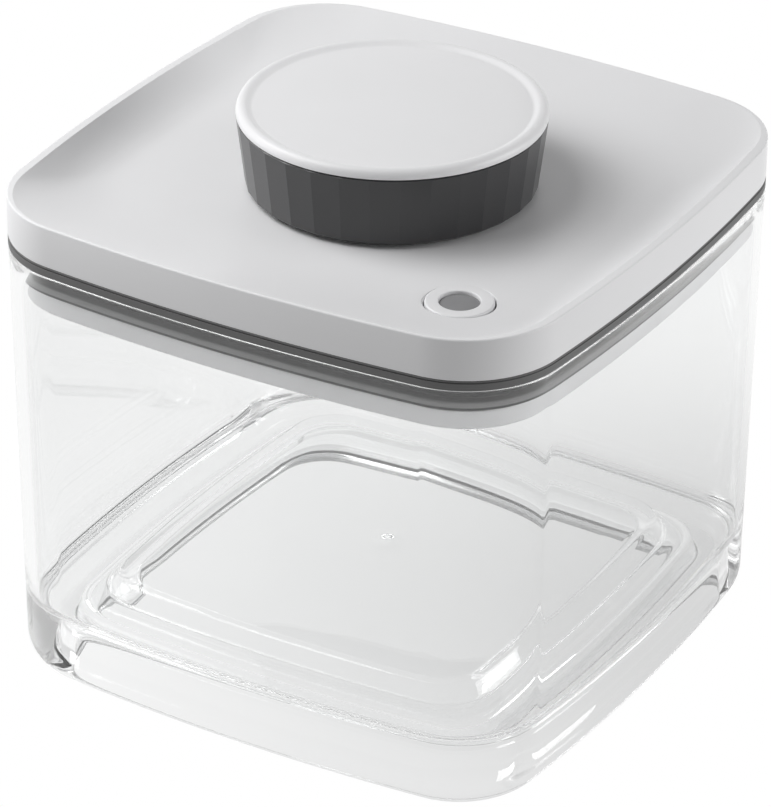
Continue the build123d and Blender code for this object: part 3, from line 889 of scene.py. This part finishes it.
# how far the roughness changes with a texture from 0 to 1
CLOUD_GLOSS = 0.05
GRAIN_GLOSS = 0.06
RUBBER_GLOSS = 0.12
CLEAR_GLOSS = 0.01
STREAK_GLOSS = 0.15
STREAK_MIDDLE = 0.07
# painted shade and light on the gasket: near black under the lip, dark on the neck in the flange's
# shadow, pale on the lit lip
SHADED_RUBBER = 0.02
LIT_AND_PRESSED_RUBBER = 0.26
SHADED_NECK_RUBBER = 0.05
FLANGE_RUBBER = 0.11
# tones of the gasket at shares of its lip's height, and of the height of its flange's foot: painted
# shade under the lip and on the neck below the flange, and a painted highlight on the lip, which is
# also paler where it is pressed to the wall
LIP_TONES = (
    (0.0, SHADED_RUBBER),
    (0.36, SHADED_RUBBER),
    (0.46, LIT_AND_PRESSED_RUBBER),
    (0.9, LIT_AND_PRESSED_RUBBER),
    (1.1, SHADED_NECK_RUBBER),
)
FLANGE_TONES = ((0.99, SHADED_NECK_RUBBER), (1.02, FLANGE_RUBBER))
# sockets of a Mix node for colours
MIX_SHARE, MIX_FIRST, MIX_SECOND, MIXED = 0, 6, 7, 2


class Value:
    """One shader socket; arithmetic on it adds Math nodes."""

    def __init__(self, sheet, socket):
        self.sheet = sheet
        self.socket = socket

    def _math(self, operation, first, second):
        """Math node of two values."""
        return self.sheet.node("ShaderNodeMath", {"operation": operation}, {0: first, 1: second})

    def __add__(self, other):
        return self._math("ADD", self, other)

    def __sub__(self, other):
        return self._math("SUBTRACT", self, other)

    def __mul__(self, other):
        return self._math("MULTIPLY", self, other)

    def __truediv__(self, other):
        return self._math("DIVIDE", self, other)

    def __rsub__(self, other):
        return self._math("SUBTRACT", other, self)

    def __rtruediv__(self, other):
        return self._math("DIVIDE", other, self)

    __radd__ = __add__
    __rmul__ = __mul__

    def sine(self):
        """Sine of the value, in radians."""
        return self.sheet.node("ShaderNodeMath", {"operation": "SINE"}, {0: self})


class Sheet:
    """The node tree of a material or of the studio's world, with one method that adds any node."""

    def __init__(self, name, world=False):
        self.world = world
        self.owner = bpy.data.worlds.new(name) if world else bpy.data.materials.new(name)
        self.owner.use_nodes = True
        self.tree = self.owner.node_tree
        self.tree.nodes.clear()

    def node(self, kind, settings=None, inputs=None, output=0):
        """Adds a node: its type, its settings or a ramp's grey stops, and its sockets."""
        made = self.tree.nodes.new(kind)
        for key, value in (settings or {}).items():
            if key == "stops":
                ramp = made.color_ramp.elements
                for index, (place, grey) in enumerate(value):
                    stop = ramp[index] if index < 2 else ramp.new(place)
                    stop.position = place
                    stop.color = (grey, grey, grey, 1)
            else:
                setattr(made, key, value)
        for key, value in (inputs or {}).items():
            if isinstance(value, Value):
                self.tree.links.new(value.socket, made.inputs[key])
            else:
                made.inputs[key].default_value = value
        return Value(self, made.outputs[output]) if made.outputs else None

    def place(self):
        """Object coordinates."""
        return self.node("ShaderNodeTexCoord", output="Object")

    def along(self, axis):
        """One of the object coordinates X, Y and Z."""
        return self.node("ShaderNodeSeparateXYZ", None, {0: self.place()}, output=axis)

    def noise(self, size, detail, roughness=0.5):
        """Noise with features of about a size, in metres."""
        numbers = {"Scale": 1 / size, "Detail": detail, "Roughness": roughness}
        return self.node("ShaderNodeTexNoise", None, {"Vector": self.place(), **numbers})

    def blend(self, share, first, second):
        """Colour between two colours."""
        ends = [end if isinstance(end, Value) else (*end, 1) for end in (first, second)]
        inputs = {MIX_SHARE: share, MIX_FIRST: ends[0], MIX_SECOND: ends[1]}
        return self.node("ShaderNodeMix", {"data_type": "RGBA"}, inputs, output=MIXED)

    def bump(self, height, depth):
        """Normal from a height of 0 to 1 and its depth in metres."""
        return self.node("ShaderNodeBump", None, {"Height": height, "Distance": depth})

    def finish(self, **inputs):
        """Principled shader with these sockets, set as the surface."""
        named = {key.replace("_", " "): value for key, value in inputs.items()}
        self.output(self.node("ShaderNodeBsdfPrincipled", None, named))

    def shade(self, share, first, second):
        """Shader between two shaders."""
        return self.node("ShaderNodeMixShader", None, {0: share, 1: first, 2: second})

    def output(self, shader):
        """Sets the shader as the surface, or as the world's light."""
        kind = "ShaderNodeOutputWorld" if self.world else "ShaderNodeOutputMaterial"
        self.node(kind, None, {"Surface": shader})


def scaled(colour, factor):
    """A colour made paler or darker: each channel times a factor, up to 1."""
    return tuple(min(channel * factor, 1) for channel in colour)


def moulded_plastic(name, colour, roughness, tint=0.03, coat=0.0):
    """Satin moulded plastic: a faint cloud in its colour and gloss, and a fine grain."""
    sheet = Sheet(name)
    cloud = sheet.noise(CLOUD, 3)
    fine = sheet.noise(GRAIN, 2)
    middle = (GRAIN_GLOSS + CLOUD_GLOSS) / 2
    sheet.finish(
        Base_Color=sheet.blend(cloud, scaled(colour, 1 - tint), scaled(colour, 1 + tint)),
        Roughness=fine * GRAIN_GLOSS + cloud * CLOUD_GLOSS + (roughness - middle),
        Coat_Weight=coat,
        Coat_Roughness=COAT_ROUGHNESS,
        Normal=sheet.bump(fine, GRAIN_DEPTH),
    )
    return sheet.owner


def dust_on(sheet):
    """Cloudy dust from 0 to 1."""
    return sheet.noise(DUST, 4, DUST_ROUGHNESS)


def finish_rubber(sheet, colour, roughness):
    """Matt silicone of a colour, with a soft fine grain in its gloss and its surface."""
    fine = sheet.noise(RUBBER_GRAIN, 2)
    sheet.finish(
        Base_Color=colour,
        Roughness=fine * RUBBER_GLOSS + (roughness - RUBBER_GLOSS / 2),
        Normal=sheet.bump(fine, RUBBER_DEPTH),
    )
    return sheet.owner


def soft_rubber(name, colour, roughness):
    """Silicone of one colour, faintly dusty."""
    sheet = Sheet(name)
    dusted = sheet.blend(dust_on(sheet), colour, scaled(colour, DUSTY))
    return finish_rubber(sheet, dusted, roughness)


def gasket_silicone():
    """Dark silicone with painted light and shade: the lip's foot is painted near black as shade,
    the neck below the flange is painted dark as the flange's shadow, and the lip is painted pale
    where light falls on it as well as where it is pressed to the wall; the flange keeps the plain
    tone.

    Its tone goes by the height above the lip's foot, as a share of the way to the lid.
    """
    sheet = Sheet("gasket_silicone")
    lip_low = gasket_low.z + LIP_RISE
    span = LID_BOTTOM - lip_low
    lip_top = LIP_HEIGHT / span
    flange = (RIM - lip_low) / span
    stops = [(lip_top * place, tone) for place, tone in LIP_TONES]
    stops += [(flange * place, tone) for place, tone in FLANGE_TONES]
    share = (sheet.along("Z") - lip_low) / span
    tone = sheet.node("ShaderNodeValToRGB", {"stops": stops}, {0: share})
    dusted = sheet.blend(dust_on(sheet) * GASKET_DUST, tone, DUST_GREY)
    return finish_rubber(sheet, dusted, GASKET_ROUGHNESS)


def clear_plastic():
    """Clear moulded body: polished and faintly grey, with a very faint flow ripple.

    The face under its foot is matt: the roughness grows as the height falls to 0.
    """
    sheet = Sheet("clear_plastic")
    ends = {"From Min": MATT_HEIGHT, "From Max": 0.0, "To Max": MATT_ROUGHNESS}
    matt = sheet.node("ShaderNodeMapRange", None, {"Value": sheet.along("Z"), **ends})
    ripple = sheet.noise(RIPPLE, 1)
    sheet.finish(
        Base_Color=sheet.blend(ripple, CLEAR_DARK, CLEAR_PALE),
        Roughness=sheet.noise(CLEAR_GRAIN, 2) * CLEAR_GLOSS + matt,
        Transmission_Weight=1.0,
        IOR=CLEAR_IOR,
        Normal=sheet.bump(ripple, RIPPLE_DEPTH),
    )
    return sheet.owner


def metal(name, colour, roughness):
    """Plated or drawn steel with fine streaks."""
    sheet = Sheet(name)
    streak = sheet.noise(STREAK, 3)
    sheet.finish(
        Base_Color=sheet.blend(streak, scaled(colour, STREAK_DARK), colour),
        Roughness=streak * STREAK_GLOSS + (roughness - STREAK_MIDDLE),
        Metallic=1.0,
        Normal=sheet.bump(streak, STREAK_DEPTH),
    )
    return sheet.owner


def filter_mesh():
    """Fine woven disc: the product of two crossing sine waves raises and shades the threads."""
    sheet = Sheet("filter_weave")
    waves = (sheet.along("X") * WEAVE).sine() * (sheet.along("Y") * WEAVE).sine()
    threads = waves * 0.5 + 0.5
    sheet.finish(
        Base_Color=sheet.blend(threads, WEAVE_DARK, WEAVE_PALE),
        Roughness=WEAVE_ROUGHNESS,
        Normal=sheet.bump(threads, WEAVE_DEPTH),
    )
    return sheet.owner


def dress(piece, material):
    """Puts one material on a piece."""
    piece.data.materials.clear()
    piece.data.materials.append(material)


def repaint(names, material):
    """Gives CAD nodes a material in each of their slots."""
    for name in names:
        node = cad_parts[name]
        if not node.material_slots:
            node.data.materials.append(material)
        for place in node.material_slots:
            place.material = material


pieces = {
    "clear": make_container(),
    "lid": make_lid(),
    "gasket": make_gasket(),
    "plug": make_plug(),
    "grip": make_grip(),
    "cap": make_cap(),
    "button": make_button(),
    "indicator": make_indicator(),
    "pump_spring": make_spring(
        "pump_coil", "piston_spring", PUMP_WIRE, PUMP_TURNS
    ),
    "valve_spring": make_spring(
        "valve_coil", "button_spring", VALVE_WIRE, VALVE_TURNS
    ),
}
# each material, with the new pieces and the frame's nodes that wear it
finishes = (
    (clear_plastic(), ["clear"], ["container"]),
    (
        moulded_plastic("white_lid_plastic", (0.83, 0.83, 0.84), 0.42),
        ["lid", "button"],
        ["lid_shell", "release_button"],
    ),
    (moulded_plastic("white_cap_plastic", (0.82, 0.82, 0.83), 0.38), ["cap"], ["knob_cap"]),
    (
        moulded_plastic("white_inner_plastic", (0.89, 0.89, 0.9), 0.45),
        ["plug"],
        ["lid_tray", "pump_cylinder", "piston", "valve_stem"],
    ),
    (
        moulded_plastic("charcoal_plastic", (0.012, 0.012, 0.0135), 0.36, tint=0.08, coat=0.55),
        ["grip"],
        ["grip_ring"],
    ),
    (
        moulded_plastic("hub_plastic", (0.7, 0.7, 0.69), 0.5),
        [],
        ["cam_hub", "knob_retainer", "bearing_washer", "valve_bush"],
    ),
    (gasket_silicone(), ["gasket"], ["rim_gasket"]),
    (
        soft_rubber("indicator_silicone", (0.21, 0.21, 0.215), 0.6),
        ["indicator"],
        ["vacuum_indicator"],
    ),
    (
        soft_rubber("inner_silicone", (0.2, 0.2, 0.2), 0.6),
        [],
        ["cylinder_gasket", "inlet_valve", "outlet_valve", "piston_seal", "valve_seal"],
    ),
    (
        metal("plated_steel", (0.72, 0.72, 0.74), 0.3),
        ["pump_spring", "valve_spring"],
        ["cylinder_screws", "piston_spring", "button_spring"],
    ),
    (filter_mesh(), [], ["inlet_filter"]),
)
for material, made, nodes in finishes:
    for name in made:
        dress(pieces[name], material)
    repaint(nodes, material)


# Camera

AZIMUTH = math.radians(30.611)
ELEVATION = math.radians(29.178)
ROLL = math.radians(0.477)
DISTANCE = 1.0391
AIM = Vector((0, 0, 0.050))
FOCAL_PIXELS = 4829.6
PHOTO_WIDTH = 771
PHOTO_HEIGHT = 807
MIDDLE_X = 389.84
MIDDLE_Y = 420.02
SENSOR = 36.0
CLIP_END = 20


def make_camera():
    """Camera at the photograph's viewing angle, with its small turn about the line of sight."""
    back = Vector(
        (
            math.sin(AZIMUTH) * math.cos(ELEVATION),
            -math.cos(AZIMUTH) * math.cos(ELEVATION),
            math.sin(ELEVATION),
        )
    )
    level = Vector((math.cos(AZIMUTH), math.sin(AZIMUTH), 0))
    upright = back.cross(level)
    right = level * math.cos(ROLL) + upright * math.sin(ROLL)
    up = upright * math.cos(ROLL) - level * math.sin(ROLL)
    lens = bpy.data.cameras.new("photo_camera")
    lens.sensor_width = SENSOR
    lens.lens = FOCAL_PIXELS * SENSOR / PHOTO_HEIGHT
    lens.shift_x = (PHOTO_WIDTH / 2 - MIDDLE_X) / PHOTO_HEIGHT
    lens.shift_y = (MIDDLE_Y - PHOTO_HEIGHT / 2) / PHOTO_HEIGHT
    lens.clip_end = CLIP_END
    camera = bpy.data.objects.new("photo_camera", lens)
    turned = Matrix((right, up, back)).transposed().to_4x4()
    camera.matrix_world = Matrix.Translation(AIM + back * DISTANCE) @ turned
    bpy.context.scene.collection.objects.link(camera)
    bpy.context.scene.camera = camera


# Light and floor

LIGHT_BOUNCES = 128
PURE_WHITE = (1, 1, 1, 1)
# strengths of the studio's and the floor's light
WHITE = 1.0
HORIZON = 0.74
DIFFUSE_WORLD = 0.165
DIFFUSE_FLOOR = 0.52
SHADOW = 0.70
# sine of the elevation from which the studio is white
HORIZON_TOP = 0.65
SHADOW_PLACE = (0.065, 0.035, 0)
SHADOW_REACH = 0.17
GROUND_REACH = 3.0
GROUND_DROP = 0.0002
# name, place, aim, width, height, power
SOFTBOXES = (
    ("key_softbox", (-0.40, -0.10, 0.45), (0, 0, 0.1), 0.3, 0.3, 0.95),
    ("front_softbox", (-0.28, -0.16, 0.55), (0, 0, 0.1), 0.4, 0.4, 1.65),
    ("right_softbox", (1.0, 0.45, 0.35), (0, 0, 0.08), 0.8, 0.5, 6.5),
    ("left_softbox", (-0.95, -0.35, 0.25), (0, 0, 0.1), 0.5, 0.4, 1.8),
)


def ray_is(sheet, kind):
    """1 for rays of one kind, such as those that matt surfaces send out, and otherwise 0."""
    return sheet.node("ShaderNodeLightPath", output=kind)


def smooth_range(sheet, value, top):
    """A value's share of the way from 0 to its top, eased by 3 share^2 - 2 share^3."""
    settings = {"interpolation_type": "SMOOTHSTEP"}
    return sheet.node("ShaderNodeMapRange", settings, {"Value": value, "From Max": top})


def make_world():
    """White studio, greyer towards the horizon in gloss and clear plastic, dim on matt surfaces."""
    studio = Sheet("studio", world=True)
    direction = studio.node("ShaderNodeTexCoord", output="Generated")
    height = studio.node("ShaderNodeSeparateXYZ", None, {0: direction}, output="Z")
    rise = smooth_range(studio, height, HORIZON_TOP)
    grey, white, felt = (
        studio.node("ShaderNodeBackground", None, {"Color": PURE_WHITE, "Strength": strength})
        for strength in (HORIZON, WHITE, DIFFUSE_WORLD)
    )
    seen = studio.shade(rise, grey, white)
    studio.output(studio.shade(ray_is(studio, "Is Diffuse Ray"), seen, felt))
    studio.owner.cycles.sampling_method = "NONE"
    bpy.context.scene.world = studio.owner


def make_floor():
    """Wide pale floor, evenly lit: white to the eye, with a soft shade seen in clear plastic."""
    corners = np.array([(-1, -1), (1, -1), (1, 1), (-1, 1)], float) * GROUND_REACH
    points = np.concatenate([corners, np.full((4, 1), -GROUND_DROP)], 1)
    floor = linked(filled("pale_floor", points, [np.array([(0, 1, 2, 3)])]))
    sheet = Sheet("pale_floor")
    ends = {0: sheet.place(), 1: SHADOW_PLACE}
    away = sheet.node("ShaderNodeVectorMath", {"operation": "DISTANCE"}, ends, output="Value")
    shaded, white, felt = (
        sheet.node("ShaderNodeEmission", None, {"Color": PURE_WHITE, "Strength": strength})
        for strength in (SHADOW, WHITE, DIFFUSE_FLOOR)
    )
    through = sheet.shade(smooth_range(sheet, away, SHADOW_REACH), shaded, white)
    unseen = sheet.shade(ray_is(sheet, "Is Diffuse Ray"), through, felt)
    sheet.output(sheet.shade(ray_is(sheet, "Is Camera Ray"), unseen, white))
    sheet.owner.cycles.emission_sampling = "NONE"
    dress(floor, sheet.owner)


def softbox(name, place, aim, width, height, power):
    """Rectangular area light that faces a point."""
    light = bpy.data.lights.new(name, "AREA")
    light.shape = "RECTANGLE"
    light.size = width
    light.size_y = height
    light.energy = power
    lamp = bpy.data.objects.new(name, light)
    away = Vector(place) - Vector(aim)
    turned = away.to_track_quat("Z", "Y").to_matrix().to_4x4()
    lamp.matrix_world = Matrix.Translation(Vector(place)) @ turned
    bpy.context.scene.collection.objects.link(lamp)


make_camera()
make_world()
make_floor()
for lamp in SOFTBOXES:
    softbox(*lamp)

scene = bpy.context.scene
scene.view_settings.view_transform = "Standard"
scene.cycles.use_denoising = True
scene.cycles.max_bounces = LIGHT_BOUNCES
scene.cycles.transmission_bounces = LIGHT_BOUNCES
scene.cycles.glossy_bounces = LIGHT_BOUNCES
